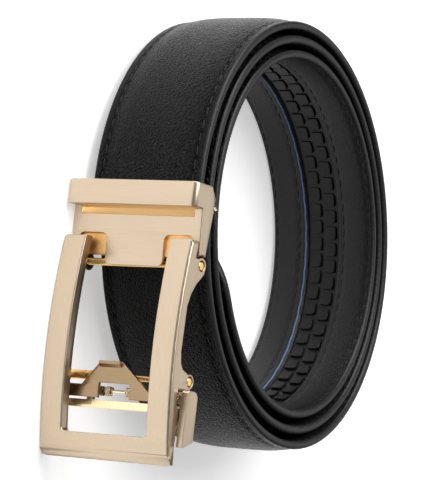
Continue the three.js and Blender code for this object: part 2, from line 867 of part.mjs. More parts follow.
// A torsion spring on the rod
function makeSpring(middle) {
  const radius = rodRadius + gap + 2 * springWire - 0.1;
  const length = springCoils * (2 * springWire + springGap);
  const stepsPerCoil = 12;
  const steps = springCoils * stepsPerCoil;
  const points = Array.from({ length: steps + 1 }, (_, i) => {
    const angle = Math.PI + 2 * Math.PI * i / stepsPerCoil;
    const z = middle - length / 2 + length * i / steps;
    return new THREE.Vector3(rodX + radius * Math.sin(angle), rodY + radius * Math.cos(angle), z);
  });
  const section = new THREE.Shape().absarc(0, 0, springWire, 0, 2 * Math.PI);
  return solid(new THREE.ExtrudeGeometry(section, {
    steps: steps * 2,
    curveSegments: 3,
    bevelEnabled: false,
    extrudePath: new THREE.CatmullRomCurve3(points),
  }));
}

// Materials

const finishes = {
  leather: { color: 0x17171a, roughness: 0.55, metalness: 0 },
  plastic: { color: 0x0c0c0e, roughness: 0.45, metalness: 0 },
  brushedGold: { color: 0xdcc0a0, roughness: 0.35, metalness: 1 },
  polishedGold: { color: 0xe0b070, roughness: 0.15, metalness: 1 },
  steel: { color: 0xd8d0c0, roughness: 0.25, metalness: 1 },
};

function piece(name, manifold, finish) {
  const mesh = new THREE.Mesh(geometryOf(manifold), new THREE.MeshStandardMaterial(finishes[finish]));
  mesh.name = name;
  return mesh;
}

// Assembly

const clampParts = new THREE.Group();
clampParts.add(
  piece('clamp_body', makeClampBody(), 'brushedGold'),
  piece('clamp_flap', makeFlap(), 'brushedGold'),
  piece('flap_pin', disc(flapPinX, flapPinY, flapPinRadius, -buckleHalf + 0.1, buckleHalf - 0.1, 20), 'steel'),
  piece('frame_hinge_pin', headedPin(hingeX, hingeY, pinRadius - shaftStep), 'brushedGold'),
);

const frameParts = new THREE.Group();
frameParts.add(
  piece('buckle_frame', makeFrame(), 'brushedGold'),
  piece('stop_pin', headedPin(stopX, stopY, stopRadius), 'polishedGold'),
  piece('stop_sleeve', makeSleeve(), 'polishedGold'),
  piece('stop_ring', makeRing(), 'polishedGold'),
  piece('spring_rod', makeRod(), 'steel'),
);

const pawlParts = new THREE.Group();
pawlParts.add(
  piece('pawl_plate', makePawlPlate(), 'polishedGold'),
  piece('release_lever', makeLever(), 'brushedGold'),
  piece('spring_left', makeSpring(springPlaces[0]), 'steel'),
  piece('spring_right', makeSpring(springPlaces[1]), 'steel'),
);

const buckle = new THREE.Group();
buckle.position.z = buckleHalf;
buckle.add(clampParts, frameParts, pawlParts);

const strap = new THREE.Group();
strap.add(
  piece('strap', makeStrap(), 'leather'),
  piece('ratchet_track', makeTrack(), 'plastic'),
);

// The origin is on the frame's lower side face, in the middle of the arm that lies on the ground
const belt = new THREE.Group();
belt.add(strap, buckle);
belt.position.set(-frameMiddle, -(frontAt(frameMiddle) + armDepth / 2 + 0.4), 0);

export default belt;
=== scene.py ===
"""Looks of a coiled leather belt with a pale gold slide buckle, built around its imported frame."""

from __future__ import annotations

import logging
import math
from dataclasses import dataclass, field
from enum import Enum
from typing import Callable, Sequence

import bmesh
import bpy
import numpy as np
from mathutils import Matrix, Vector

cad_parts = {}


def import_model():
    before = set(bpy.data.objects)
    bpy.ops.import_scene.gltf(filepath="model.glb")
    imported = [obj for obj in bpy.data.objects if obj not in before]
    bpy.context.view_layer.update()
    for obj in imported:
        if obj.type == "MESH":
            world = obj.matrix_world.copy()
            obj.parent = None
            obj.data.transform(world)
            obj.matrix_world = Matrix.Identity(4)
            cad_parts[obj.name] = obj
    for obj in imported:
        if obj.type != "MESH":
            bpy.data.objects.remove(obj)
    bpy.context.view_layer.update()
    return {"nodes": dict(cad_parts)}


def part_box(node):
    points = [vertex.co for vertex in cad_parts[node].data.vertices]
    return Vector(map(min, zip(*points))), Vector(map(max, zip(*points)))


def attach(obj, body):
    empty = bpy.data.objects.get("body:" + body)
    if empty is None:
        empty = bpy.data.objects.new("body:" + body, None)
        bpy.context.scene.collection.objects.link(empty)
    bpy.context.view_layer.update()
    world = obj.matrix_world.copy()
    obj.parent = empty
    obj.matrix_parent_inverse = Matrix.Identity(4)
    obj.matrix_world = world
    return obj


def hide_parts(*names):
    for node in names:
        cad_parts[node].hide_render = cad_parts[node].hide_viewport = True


LOG = logging.getLogger("belt")
MM = 0.001
MERGE_REACH = 2e-6
FULL_TURN = 2 * math.pi
INNER_SHARE = 0.35
Array = np.ndarray


class Grain(Enum):
    """Direction in which a metal face is brushed."""

    ALONG = (0.03, 1.0, 1.0)
    ACROSS = (1.0, 1.0, 0.03)


# Meshes


def link_mesh(name: str, mesh: bpy.types.Mesh) -> bpy.types.Object:
    """Puts a mesh into the scene as an object at the origin."""
    obj = bpy.data.objects.new(name, mesh)
    bpy.context.scene.collection.objects.link(obj)
    return obj


def enclosed_volume(points: Array, faces: Array) -> float:
    """Sum of the tetrahedra from the origin to each face, above zero when the faces point outwards.

    Args:
        points: Vertex places, one row each.
        faces: Four vertex numbers a row.

    Returns:
        Six times the enclosed volume.
    """
    a, b, c, d = (points[faces[:, i]] for i in range(4))
    first = np.einsum("ij,ij->i", a, np.cross(b, c))
    second = np.einsum("ij,ij->i", a, np.cross(c, d))
    return float((first + second).sum())


def mesh_of(name: str, points: Array, faces: Array, slots: Array | None = None) -> bpy.types.Object:
    """Makes a smooth closed mesh of quads and triangles (a triangle repeats its last corner).

    Args:
        name: Name of the new object.
        points: Vertex places in metres.
        faces: Four vertex numbers a row.
        slots: Material number of each face.

    Returns:
        The linked object, its faces turned outwards.
    """
    if enclosed_volume(points, faces) < 0:
        faces = faces[:, ::-1]
    is_quad = faces[:, 0] != faces[:, 1]
    is_quad &= faces[:, 2] != faces[:, 3]
    sizes = np.where(is_quad, 4, 3)
    keep = np.ones(faces.shape, bool)
    keep[:, 1:] = faces[:, 1:] != faces[:, :-1]
    mesh = bpy.data.meshes.new(name)
    mesh.vertices.add(len(points))
    mesh.vertices.foreach_set("co", points.astype(np.float32).ravel())
    mesh.loops.add(int(sizes.sum()))
    mesh.loops.foreach_set("vertex_index", faces[keep].astype(np.int32))
    mesh.polygons.add(len(faces))
    mesh.polygons.foreach_set("loop_start", np.concatenate([[0], np.cumsum(sizes)[:-1]]).astype(np.int32))
    if slots is not None:
        mesh.polygons.foreach_set("material_index", slots.astype(np.int32))
    mesh.polygons.foreach_set("use_smooth", np.ones(len(faces), bool))
    mesh.update(calc_edges=True)
    mesh.validate()
    return link_mesh(name, mesh)


def ring_faces(rings: int, around: int) -> Array:
    """Quads between neighbouring rings, each ring closed on itself."""
    i, j = np.meshgrid(np.arange(rings - 1), np.arange(around), indexing="ij")
    k = (j + 1) % around
    quads = np.stack([i * around + j, i * around + k, (i + 1) * around + k, (i + 1) * around + j], -1)
    return quads.reshape(-1, 4)


def capped_rings(points: Array) -> tuple[Array, Array]:
    """Closes a stack of rings with a fan from the middle of its first and of its last ring.

    Args:
        points: Ring points, shape (rings, around, 3).

    Returns:
        Vertex places and faces.
    """
    rings, around, _ = points.shape
    flat = points.reshape(-1, 3)
    middles = np.stack([points[0].mean(0), points[-1].mean(0)])
    j = np.arange(around)
    k = (j + 1) % around
    first = np.stack([k, j, np.full(around, len(flat)), np.full(around, len(flat))], -1)
    start = (rings - 1) * around
    end = np.full(around, len(flat) + 1)
    last = np.stack([start + j, start + k, end, end], -1)
    return np.vstack([flat, middles]), np.vstack([ring_faces(rings, around), first, last])


def swept_tube(path: Array, radius: float | Array, around: int) -> tuple[Array, Array]:
    """A round tube: circles square to the path, turned about the upright axis.

    Args:
        path: Points of the middle line, shape (n, 3).
        radius: Tube radius, one for all or one a point.
        around: Corners of each circle.

    Returns:
        Vertex places and faces.
    """
    tangent = np.gradient(path, axis=0)
    tangent /= np.linalg.norm(tangent, axis=1)[:, None]
    side = np.cross(tangent, [0.0, 0.0, 1.0])
    side /= np.linalg.norm(side, axis=1)[:, None]
    third = np.cross(side, tangent)
    turn = np.linspace(0, FULL_TURN, around, endpoint=False)
    reach = np.broadcast_to(np.asarray(radius, float), (len(path),))[:, None, None]
    circle = np.cos(turn)[None, :, None] * side[:, None] + np.sin(turn)[None, :, None] * third[:, None]
    return capped_rings(path[:, None] + reach * circle)


def lathe_upright(
    x: float, y: float, profile: Sequence[tuple[float, float]], around: int,
) -> tuple[Array, Array]:
    """A turned piece: each (radius, height) of the profile carried round an upright axis at x, y."""
    radius, height = np.array(profile).T
    turn = np.linspace(0, FULL_TURN, around, endpoint=False)
    rings = np.stack([
        x + radius[:, None] * np.cos(turn),
        y + radius[:, None] * np.sin(turn),
        np.repeat(height[:, None], around, 1),
    ], -1)
    return capped_rings(rings)


# Materials


@dataclass
class Shader:
    """A material under construction, with short ways to add and join nodes."""

    name: str
    material: bpy.types.Material = field(init=False)

    def __post_init__(self) -> None:
        """Makes the material with its Principled shader."""
        self.material = bpy.data.materials.new(self.name)
        self.material.use_nodes = True

    @property
    def surface(self) -> bpy.types.Node:
        """The Principled shader."""
        return self.material.node_tree.nodes["Principled BSDF"]

    def add(self, kind: str, **values: object) -> bpy.types.Node:
        """Adds a node and sets its properties."""
        return add_node(self.material.node_tree, kind, **values)

    def group(self, tree: bpy.types.NodeTree, **inputs: float) -> bpy.types.Node:
        """Adds a node group with Object coordinates as its place and the given numbers."""
        node = self.add("ShaderNodeGroup", node_tree=tree)
        coordinates = self.add("ShaderNodeTexCoord")
        self.join(coordinates.outputs["Object"], node.inputs["Place"])
        for name, value in inputs.items():
            node.inputs[name.replace("_", " ")].default_value = value
        return node

    def join(self, output: bpy.types.NodeSocket, target: bpy.types.NodeSocket) -> None:
        """Links one socket to another."""
        self.material.node_tree.links.new(output, target)

    def ramp(
        self, source: bpy.types.NodeSocket, low: Sequence[float], high: Sequence[float],
    ) -> bpy.types.NodeSocket:
        """Blends two colours by a mask."""
        mix = self.add("ShaderNodeMix", data_type="RGBA")
        self.join(source, mix.inputs[0])
        mix.inputs[6].default_value = (*low, 1)
        mix.inputs[7].default_value = (*high, 1)
        return mix.outputs[2]

    def spread(self, source: bpy.types.NodeSocket, low: float, high: float) -> bpy.types.NodeSocket:
        """Maps a mask from 0..1 to a range of numbers."""
        node = self.add("ShaderNodeMapRange")
        self.join(source, node.inputs["Value"])
        node.inputs["To Min"].default_value = low
        node.inputs["To Max"].default_value = high
        return node.outputs["Result"]

    def bump(self, height: bpy.types.NodeSocket, distance: float, strength: float = 1.0) -> None:
        """Feeds a height into the shader's normal."""
        node = self.add("ShaderNodeBump")
        node.inputs["Distance"].default_value = distance
        node.inputs["Strength"].default_value = strength
        self.join(height, node.inputs["Height"])
        self.join(node.outputs["Normal"], self.surface.inputs["Normal"])


def add_node(tree: bpy.types.NodeTree, kind: str, **values: object) -> bpy.types.Node:
    """Adds a node to a tree and sets its properties."""
    node = tree.nodes.new(kind)
    for name, value in values.items():
        setattr(node, name, value)
    return node


def new_group(
    name: str, inputs: dict[str, float], outputs: Sequence[str],
) -> tuple[bpy.types.NodeTree, dict[str, bpy.types.NodeSocket]]:
    """Makes an empty shader node group.

    Args:
        name: Name of the group.
        inputs: Number inputs with their usual values; Place, a vector, comes first.
        outputs: Number outputs.

    Returns:
        The tree and its sockets by name.
    """
    tree = bpy.data.node_groups.new(name, "ShaderNodeTree")
    tree.interface.new_socket("Place", in_out="INPUT", socket_type="NodeSocketVector")
    for socket, value in inputs.items():
        number = tree.interface.new_socket(socket, in_out="INPUT", socket_type="NodeSocketFloat")
        number.default_value = value
    for socket in outputs:
        tree.interface.new_socket(socket, in_out="OUTPUT", socket_type="NodeSocketFloat")
    entry = add_node(tree, "NodeGroupInput")
    leave = add_node(tree, "NodeGroupOutput")
    sockets = {s.name: s for s in entry.outputs if s.name}
    sockets.update({s.name: s for s in leave.inputs if s.name})
    return tree, sockets


def pebble_group() -> bpy.types.NodeTree:
    """Leather grain: raised cells with creases between them, broken up by fine noise; the crease mask also
    paints shade into the creases.
    """
    wobble_scale = 600
    wobble_reach = 0.0006
    crease_width = 0.22
    fine_share = 0.35
    cloud_scale = 60
    tree, ends = new_group(
        "PebbleGrain", {"Cell Scale": 900.0, "Fine Scale": 3500.0}, ["Height", "Crease", "Cloud"],
    )
    link = tree.links.new
    wobble = add_node(tree, "ShaderNodeTexNoise")
    wobble.inputs["Scale"].default_value = wobble_scale
    link(ends["Place"], wobble.inputs["Vector"])
    nudge = add_node(tree, "ShaderNodeVectorMath", operation="MULTIPLY_ADD")
    nudge.inputs[1].default_value = (wobble_reach,) * 3
    link(wobble.outputs["Color"], nudge.inputs[0])
    link(ends["Place"], nudge.inputs[2])
    cells = add_node(tree, "ShaderNodeTexVoronoi", feature="DISTANCE_TO_EDGE")
    link(nudge.outputs[0], cells.inputs["Vector"])
    link(ends["Cell Scale"], cells.inputs["Scale"])
    crease = add_node(tree, "ShaderNodeMapRange", interpolation_type="SMOOTHSTEP")
    crease.inputs["From Max"].default_value = crease_width
    link(cells.outputs["Distance"], crease.inputs["Value"])
    fine = add_node(tree, "ShaderNodeTexNoise")
    fine.inputs["Detail"].default_value = 4
    link(ends["Place"], fine.inputs["Vector"])
    link(ends["Fine Scale"], fine.inputs["Scale"])
    height = add_node(tree, "ShaderNodeMath", operation="MULTIPLY_ADD")
    height.inputs[1].default_value = fine_share
    link(fine.outputs[0], height.inputs[0])
    link(crease.outputs[0], height.inputs[2])
    cloud = add_node(tree, "ShaderNodeTexNoise")
    cloud.inputs["Scale"].default_value = cloud_scale
    link(ends["Place"], cloud.inputs["Vector"])
    link(height.outputs[0], ends["Height"])
    link(crease.outputs[0], ends["Crease"])
    link(cloud.outputs[0], ends["Cloud"])
    return tree


def brushed_group(grain: Grain) -> bpy.types.NodeTree:
    """Fine parallel strokes: noise stretched along the direction of brushing, over broad soft clouds."""
    cloud_scale = 120
    tree, ends = new_group(f"Brushed{grain.name.title()}", {"Stroke Scale": 5000.0}, ["Strokes", "Cloud"])
    link = tree.links.new
    stretch = add_node(tree, "ShaderNodeVectorMath", operation="MULTIPLY")
    stretch.inputs[1].default_value = grain.value
    link(ends["Place"], stretch.inputs[0])
    strokes = add_node(tree, "ShaderNodeTexNoise")
    strokes.inputs["Detail"].default_value = 3
    link(stretch.outputs[0], strokes.inputs["Vector"])
    link(ends["Stroke Scale"], strokes.inputs["Scale"])
    cloud = add_node(tree, "ShaderNodeTexNoise")
    cloud.inputs["Scale"].default_value = cloud_scale
    link(ends["Place"], cloud.inputs["Vector"])
    link(strokes.outputs[0], ends["Strokes"])
    link(cloud.outputs[0], ends["Cloud"])
    return tree


@dataclass(frozen=True)
class LeatherFinish:
    """Leather and its like: grain of a given cell size, its gloss and its depth, with painted shade darkening
    the creases.
    """

    name: str
    dark: tuple[float, float, float]
    light: tuple[float, float, float]
    roughness: tuple[float, float]
    cell_scale: float
    depth: float
    shine: float = 0.5
    fine_per_cell: float = 4.0

    def make(self, grain: bpy.types.NodeTree) -> bpy.types.Material:
        """Builds the material from the shared grain group."""
        shader = Shader(self.name)
        node = shader.group(
            grain, Cell_Scale=self.cell_scale, Fine_Scale=self.cell_scale * self.fine_per_cell,
        )
        # Painted shade: the creases of the grain are coloured dark and the raised cells light.
        colour = shader.ramp(node.outputs["Crease"], self.dark, self.light)
        shader.join(colour, shader.surface.inputs["Base Color"])
        gloss = shader.spread(node.outputs["Cloud"], *self.roughness)
        shader.join(gloss, shader.surface.inputs["Roughness"])
        shader.surface.inputs["Specular IOR Level"].default_value = self.shine
        shader.bump(node.outputs["Height"], self.depth)
        return shader.material


@dataclass(frozen=True)
class MetalFinish:
    """Plated metal: two close colours, gloss range and depth of its strokes."""

    name: str
    dark: tuple[float, float, float]
    light: tuple[float, float, float]
    roughness: tuple[float, float]
    depth: float
    stroke_scale: float = 5000.0

    def make(self, strokes: bpy.types.NodeTree) -> bpy.types.Material:
        """Builds the material from a shared group of strokes."""
        shader = Shader(self.name)
        shader.surface.inputs["Metallic"].default_value = 1.0
        node = shader.group(strokes, Stroke_Scale=self.stroke_scale)
        colour = shader.ramp(node.outputs["Strokes"], self.dark, self.light)
        shader.join(colour, shader.surface.inputs["Base Color"])
        gloss = shader.spread(node.outputs["Cloud"], *self.roughness)
        shader.join(gloss, shader.surface.inputs["Roughness"])
        shader.bump(node.outputs["Strokes"], self.depth)
        return shader.material


class Finishes:
    """Every finish of the belt, made once, with lighter golds that paint light and reflection into the
    clamp's recess and slot and onto the frame's bridge.
    """

    def __init__(self) -> None:
        """Builds the shared groups and the materials."""
        grain = pebble_group()
        along = brushed_group(Grain.ALONG)
        across = brushed_group(Grain.ACROSS)
        self.outer_leather = LeatherFinish(
            "GrainedLeather", (0.0006, 0.0006, 0.0008), (0.003, 0.003, 0.0033),
            (0.21, 0.31), 1000, 0.00036, 0.13,
        ).make(grain)
        self.edge_paint = LeatherFinish(
            "EdgePaint", (0.01, 0.01, 0.0106), (0.014, 0.014, 0.0147), (0.34, 0.44), 500, 0.00003, 0.3,
        ).make(grain)
        self.lining = LeatherFinish(
            "Lining", (0.006, 0.006, 0.0064), (0.012, 0.012, 0.0124), (0.28, 0.38), 1500, 0.00004, 0.3,
        ).make(grain)
        self.thread = LeatherFinish(
            "Thread", (0.003, 0.003, 0.0035), (0.01, 0.01, 0.0105), (0.3, 0.4), 2500, 0.00006, 0.3,
        ).make(grain)
        self.blue_thread = LeatherFinish(
            "BlueThread", (0.06, 0.1, 0.24), (0.14, 0.22, 0.45), (0.45, 0.55), 2500, 0.00003,
        ).make(grain)
        self.track = LeatherFinish(
            "TrackPlastic", (0.003, 0.003, 0.0034), (0.006, 0.006, 0.0064), (0.3, 0.4), 1200, 0.00002, 0.25,
        ).make(grain)
        gold_dark = (0.545, 0.435, 0.315)
        gold_light = (0.65, 0.53, 0.395)
        self.brushed_along = MetalFinish(
            "BrushedGoldAlong", gold_dark, gold_light, (0.31, 0.41), 0.000012,
        ).make(along)
        self.brushed_across = MetalFinish(
            "BrushedGoldAcross", gold_dark, gold_light, (0.3, 0.38), 0.000008,
        ).make(across)
        self.polished = MetalFinish(
            "PolishedGold", (0.96, 0.6, 0.22), (1.0, 0.69, 0.3), (0.14, 0.26), 0.00002, 900,
        ).make(across)
        # Painted reflection: the keeper slot's ramp and floor get a light, rough orange gold in place of the
        # bright reflection of polished gold.
        self.slot_gold_painted_reflection = MetalFinish(
            "SlotGoldPaintedReflection", (0.96, 0.62, 0.27), (1.0, 0.76, 0.4), (0.45, 0.6), 0.00001, 900,
        ).make(across)
        # Painted light: the recess's orange gold is lightened against the shade that falls in the recess.
        self.recess_gold_painted_light = MetalFinish(
            "RecessGoldPaintedLight", (0.95, 0.54, 0.19), (1.0, 0.64, 0.27), (0.45, 0.6), 0.00001, 900,
        ).make(across)
        # Painted light: the bridge's gold is far lighter than the brushed gold, standing in for light where
        # the bridge reflects the shaded floor.
        self.bridge_painted_light = MetalFinish(
            "BridgePaintedLight", (0.9, 0.68, 0.38), (1.0, 0.85, 0.58), (0.2, 0.32), 0.00001, 900,
        ).make(across)
        self.pawl_gold = MetalFinish(
            "PawlGold", (0.3, 0.205, 0.115), (0.42, 0.3, 0.175), (0.24, 0.34), 0.00001,
        ).make(across)
        self.spring_steel = MetalFinish(
            "SpringWire", (0.75, 0.65, 0.48), (0.92, 0.83, 0.66), (0.2, 0.3), 0.00001,
        ).make(along)


# Coil


@dataclass(frozen=True)
class Stations:
    """Places along the strap: point in plan, direction out of the coil and middle height, in millimetres."""

    point: Array
    outward: Array
    middle: Array

    def place(self, out: Array, across: Array) -> Array:
        """Point plus the outward direction times out, and middle height plus across, in metres."""
        plan = self.point[:, None, :] + self.outward[:, None, :] * out[..., None]
        return np.concatenate([plan, (self.middle[:, None] + across)[..., None]], -1) * MM

    def joined(self, other: Stations) -> Stations:
        """These stations, then the others."""
        return Stations(
            np.vstack([self.point, other.point]),
            np.vstack([self.outward, other.outward]),
            np.concatenate([self.middle, other.middle]),
        )


@dataclass(frozen=True)
class Coil:
    """Three turns of a slowly shrinking oval, leaning a little, as the belt lies on its edge.

    Lengths are in millimetres, angles in degrees and turns in whole turns from the clamp.
    """

    shift: tuple[float, float] = (-39.496, 65.7)
    radius: float = 59.8
    oval: float = 2.6
    oval_angle: float = -20.6
    turns: float = 2.968
    clamp_angle: float = -87.0
    turn_pitch: float = 4.15
    pitch_swing: float = 0.4
    pitch_angle: float = 58.0
    tightening: float = 0.05
    bulge: float = 0.9
    bulge_spread: float = 26.0
    slant: float = 1.3
    overhang: float = 3.3
    half_width: float = 17.5
    far_turns: tuple[float, float] = (0.2, 0.8)
    samples: int = 4000

    def plan(self, turn: Array) -> Array:
        """Point at an angle of 360 degrees a turn, at a radius that shrinks by the pitch each turn."""
        angle = np.radians(self.clamp_angle + 360 * turn)
        oval = self.oval * np.cos(2 * (angle - math.radians(self.oval_angle)))
        pitch = self.turn_pitch - self.pitch_swing * np.cos(angle - math.radians(self.pitch_angle))
        behind = (turn - 1) * 360 / self.bulge_spread
        shrink = pitch * turn
        radius = self.radius + oval - shrink - self.tightening * turn**2 - self.bulge * np.exp(-(behind**2))
        return np.stack([-radius * np.cos(angle), radius * np.sin(angle)], -1)

    def heights(self, point: Array) -> Array:
        """Middle height of the strap: it leans along the buckle and falls to the far side."""
        start = self.plan(np.array([0.0]))[0]
        slant = math.tan(math.radians(self.slant))
        far = self.plan(np.linspace(*self.far_turns, 61))
        fall = np.min((self.overhang + slant * (far[:, 0] - start[0])) / (far[:, 1] - start[1]))
        lift = self.overhang + slant * (point[:, 0] - start[0]) - fall * (point[:, 1] - start[1])
        return self.half_width + lift

    def free(self, turn: Array) -> Stations:
        """Stations of the coil at the given turns."""
        step = 1e-4
        point = self.plan(turn)
        tangent = self.plan(turn + step) - self.plan(turn - step)
        tangent /= np.linalg.norm(tangent, axis=1)[:, None]
        outward = np.stack([-tangent[:, 1], tangent[:, 0]], -1)
        return Stations(point + self.shift, outward, self.heights(point))

    def clamped(self, x: Array) -> Stations:
        """Stations of the straight stretch inside the clamp."""
        start = self.plan(np.array([0.0]))[0]
        point = np.stack([x, np.full(len(x), start[1])], -1)
        outward = np.tile([0.0, -1.0], (len(x), 1))
        return Stations(point + self.shift, outward, self.heights(point))

    def lengths(self, turn: Array) -> Array:
        """Length of strap from the clamp to each turn, in millimetres."""
        dense = np.linspace(0, self.turns, self.samples)
        steps = np.linalg.norm(np.diff(self.plan(dense), axis=0), axis=1)
        return np.interp(turn, dense, np.concatenate([[0], np.cumsum(steps)]))

    def turn_at(self, length: Array) -> Array:
        """Turn at each length of strap from the clamp."""
        dense = np.linspace(0, self.turns, self.samples)
        return np.interp(length, self.lengths(dense), dense)


# Strap


@dataclass
class Strap:
    """Grained outer leather over padding, painted edges, and a stitched lining with the teeth's channel."""

    coil: Coil
    finishes: Finishes
    half_width: float = 17.5
    half_edge: float = 1.15
    edge_round: float = 0.75
    crown: float = 1.1
    squeezed: float = 0.3
    recovery: float = 16.0
    padded_half: float = 14.5
    tip_length: float = 17.0
    tip_half: float = 5.0
    mouth: float = 2.363
    channel_half: float = 5.35
    channel_depth: float = 0.9
    channel_turns: tuple[float, float] = (2.0291, 2.6809)
    groove: float = 0.26
    groove_width: float = 0.45
    panel_dome: float = 0.42
    panel_middle: float = 11.3
    panel_half: float = 6.0
    outer_seam: float = 14.7
    inner_seams: tuple[float, ...] = (-16.2, -8.0, 7.2, 15.8)
    stitch_pitch: float = 3.9
    blue_line: float = -5.95
    inner_groove_share: float = 0.8
    channel_lip: float = 0.02
    clamped_start: float = 11.7
    stitch_half: tuple[float, float, float] = (1.5, 0.24, 0.34)
    stitch_slant: float = 0.16
    first_stitch: float = 4.0
    last_stitch: float = 6.0
    thread_radius: float = 0.27
    thread_wave: float = 0.09
    wave_step: float = 1.9

    def half_at(self, length: Array) -> Array:
        """Half width: full until the rounded tip, which narrows as a quarter of an ellipse."""
        to_tip = self.coil.lengths(np.array([self.coil.turns]))[0] - length
        inset = np.clip(to_tip / self.tip_length, 0, 1)
        share = np.sqrt(1 - (1 - inset) ** 2)
        return self.tip_half + (self.half_width - self.tip_half) * share

    def crown_at(self, length: Array) -> Array:
        """Crown of the padding: pressed flat in the clamp, and full one recovery length past it."""
        share = np.clip((length - self.mouth) / self.recovery, 0, 1)
        grown = self.squeezed + (self.crown - self.squeezed) * share**2 * (3 - 2 * share)
        return grown * self.half_at(length) / self.half_width

    def outer_level(self, across: Array, crown: Array) -> Array:
        """Outer face: half the edge plus the crown times one minus the fourth power of the place."""
        share = np.clip(np.abs(across) / self.padded_half, 0, 1)
        seam = np.exp(-(((np.abs(across) - self.outer_seam) / self.groove_width) ** 2))
        return self.half_edge + crown * (1 - share**4) - self.groove * seam

    def inner_level(self, across: Array, channel: Array) -> Array:
        """Inner face: two low domed panels, a groove at each seam and a channel cut where the teeth lie."""
        seams = sum(np.exp(-(((across - s) / self.groove_width) ** 2)) for s in self.inner_seams)
        inside = np.abs(across) < self.channel_half
        place = np.clip((np.abs(across) - self.panel_middle) / self.panel_half, -1, 1)
        dome = self.panel_dome * (1 - place**2)
        groove = self.inner_groove_share * self.groove * seams
        return -self.half_edge - dome + groove + channel * self.channel_depth * inside

    def loop(self) -> tuple[Array, Array, Array]:
        """Places round the section: over the lining, round one edge, back over the leather, round the other.

        Returns:
            Place across the strap, share of the edge's rounding (nan on the faces), and kind:
            0 leather, 1 edge, 2 lining.
        """
        flat = self.half_width - self.edge_round
        outside = self.channel_half + self.channel_lip
        inside = self.channel_half - self.channel_lip
        lining = np.concatenate([
            np.linspace(-flat, -outside, 18),
            [-inside],
            np.linspace(-4, 4, 4),
            [inside],
            np.linspace(outside, flat, 18),
        ])
        leather = np.concatenate([
            np.linspace(flat, 13.2, 12),
            np.linspace(12, -12, 17),
            np.linspace(-13.2, -flat, 12),
        ])
        turn = np.linspace(0, math.pi, 9)[1:-1]
        right = flat + self.edge_round * np.sin(turn)
        across = np.concatenate([lining, right, leather, -right])
        bend = np.concatenate([
            np.full(len(lining), np.nan), -np.cos(turn), np.full(len(leather), np.nan), np.cos(turn),
        ])
        kind = np.concatenate([
            np.full(len(lining), 2), np.full(len(turn), 1), np.full(len(leather), 0), np.full(len(turn), 1),
        ])
        return across, bend, kind

    def turns_of_rings(self) -> Array:
        """Turns at which the coil's sections lie, closer at the channel's ends and at the tip."""
        total = self.coil.lengths(np.array([self.coil.turns]))[0]
        tip_start = float(self.coil.turn_at(np.array([total - self.tip_length]))[0])
        regular = np.linspace(0.004, tip_start, 330)
        tip = self.tip_length * (1 - np.sin(np.linspace(0, math.pi / 2, 14)[1:]))
        ends = np.array([t + d for t in self.channel_turns for d in (-2e-4, 2e-4)])
        return np.sort(np.concatenate([regular, self.coil.turn_at(total - tip), ends]))

    def build_body(self) -> bpy.types.Object:
        """Carries the section along the clamp's stretch and the coil."""
        turns = self.turns_of_rings()
        clamped_x = np.linspace(self.clamped_start, self.coil.plan(np.array([0.0]))[0, 0], 7)
        stations = self.coil.clamped(clamped_x).joined(self.coil.free(turns))
        lengths = np.concatenate([np.zeros(len(clamped_x)), self.coil.lengths(turns)])
        first, last = self.channel_turns
        is_channel = np.concatenate([np.zeros(len(clamped_x)), (turns > first) & (turns < last)])
        across, bend, kind = self.loop()
        crown = self.crown_at(lengths)[:, None]
        level = np.where(
            kind == 0,
            self.outer_level(across, crown),
            np.where(
                kind == 2,
                self.inner_level(across, is_channel[:, None]),
                self.half_edge * np.nan_to_num(bend),
            ),
        )
        narrow = (self.half_at(lengths) / self.half_width)[:, None]
        points, faces = capped_rings(stations.place(level, across * narrow))
        around = len(across)
        slots = np.ones(len(faces), int)
        ring_count = (len(turns) + len(clamped_x) - 1) * around
        pair = np.maximum(kind, np.roll(kind, -1))
        pair = np.where(kind != np.roll(kind, -1), 1, pair)
        slots[:ring_count] = np.tile(pair, len(turns) + len(clamped_x) - 1)
        strap = mesh_of("strap_leather", points, faces, slots)
        for material in (self.finishes.outer_leather, self.finishes.edge_paint, self.finishes.lining):
            strap.data.materials.append(material)
        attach(strap, "clamp")
        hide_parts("strap")
        return strap

    def stitches(
        self, name: str, lines: Sequence[float], face: Callable[[Array, Array], Array],
    ) -> bpy.types.Object:
        """Rows of thread: each stitch is a long low ellipsoid that lies in the seam's groove.

        Args:
            name: Name of the new object.
            lines: Places of the seams across the strap.
            face: Level of the face at a place across and a length.

        Returns:
            The linked object.
        """
        total = self.coil.lengths(np.array([self.coil.turns]))[0]
        lengths = np.arange(self.first_stitch, total - self.last_stitch, self.stitch_pitch)
        length, line = (grid.ravel() for grid in np.meshgrid(lengths, np.array(lines)))
        half = self.half_at(length)
        across = np.sign(line) * np.minimum(np.abs(line), half - (self.half_width - np.abs(line)))
        good = np.sign(line) * across > 1.0
        length, across = length[good], across[good]
        stations = self.coil.free(self.coil.turn_at(length))
        level = face(across * self.half_width / self.half_at(length), length)
        centre = stations.place(level[:, None], across[:, None])[:, 0]
        out = np.column_stack([stations.outward, np.zeros(len(length))])
        along = np.column_stack([-stations.outward[:, 1], stations.outward[:, 0], np.zeros(len(length))])
        up = np.tile([0.0, 0.0, 1.0], (len(length), 1))
        around = 6
        bend = np.linspace(0, math.pi, 6)[1:-1]
        turn = np.linspace(0, FULL_TURN, around, endpoint=False)
        half_length, half_height, half_thick = self.stitch_half
        slant = self.stitch_slant
        a, b = np.meshgrid(bend, turn, indexing="ij")
        shape = np.stack([
            half_length * np.cos(a),
            half_height * np.sin(a) * np.cos(b),
            half_thick * np.sin(a) * np.sin(b) + slant * np.cos(a),
        ], -1)
        ring = shape.reshape(-1, 3)
        poles = np.array([[half_length, 0, slant], [-half_length, 0, -slant]])
        unit = np.vstack([ring, poles]) * MM
        basis = np.stack([along, out, up], 1)
        points = centre[:, None] + np.einsum("vk,nkc->nvc", unit, basis)
